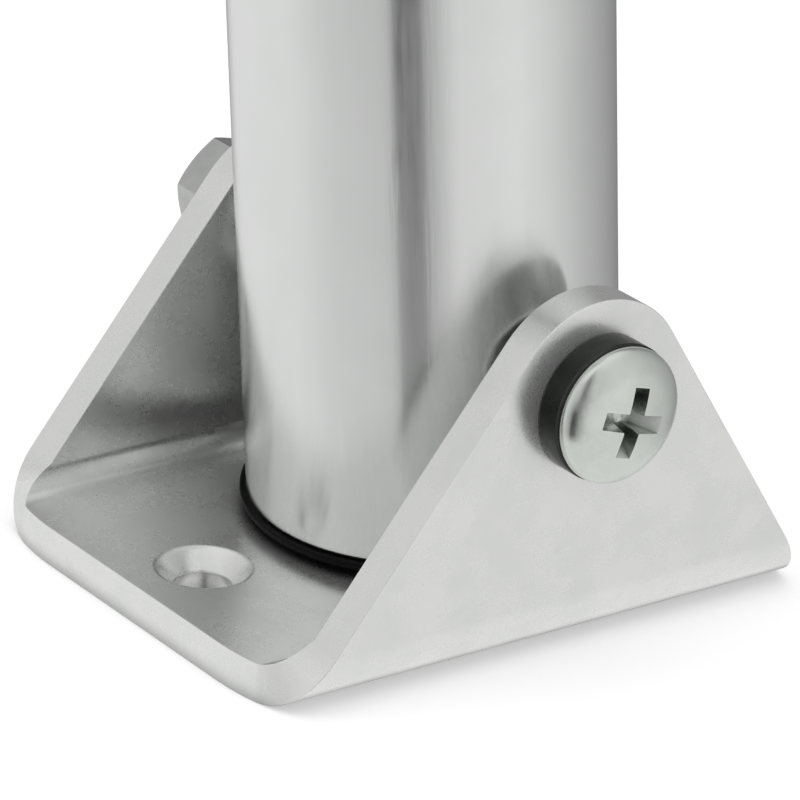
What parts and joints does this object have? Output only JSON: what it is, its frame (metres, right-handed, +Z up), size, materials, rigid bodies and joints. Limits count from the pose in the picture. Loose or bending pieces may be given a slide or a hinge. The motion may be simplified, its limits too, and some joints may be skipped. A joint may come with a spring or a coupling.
{
  "type": "pivoting furniture foot",
  "caption": "Pivoting metal foot for a round furniture leg: a bent sheet clevis on the floor, and a tube that tilts between its ears on a cross bolt.",
  "frame": {"origin": "middle of the base plate's underside, on the floor", "axes": "+X to the rear of the foot, +Y along the pivot bolt towards its nut, +Z up"},
  "size_m": [0.048, 0.0522, 0.0869],
  "materials": {
    "zinc_sheet": "zinc-plated sheet steel, softly mottled satin",
    "leg_metal": "plated steel tube, satin-bright",
    "zinc_fastener": "zinc-plated steel, bright",
    "black_plastic": "black moulded polyamide, fine matt"
  },
  "bodies": {
    "foot": {"clevis_bracket": "zinc_sheet", "pivot_sleeve": "zinc_fastener", "near_spacer": "zinc_fastener", "far_spacer": "zinc_fastener", "pivot_bolt": "zinc_fastener", "head_washer": "zinc_fastener", "nut_washer": "zinc_fastener", "spring_washer": "zinc_fastener", "hex_nut": "zinc_fastener"},
    "leg": {"leg_tube": "leg_metal", "tube_end_plug": "black_plastic"}
  },
  "joints": [
    {"name": "leg_tilt", "type": "hinge", "parent": "foot", "child": "leg", "pos_m": [0.0014, 0, 0.0198], "axis": [0, 1, 0], "range_deg": [0, 12]}
  ]
}
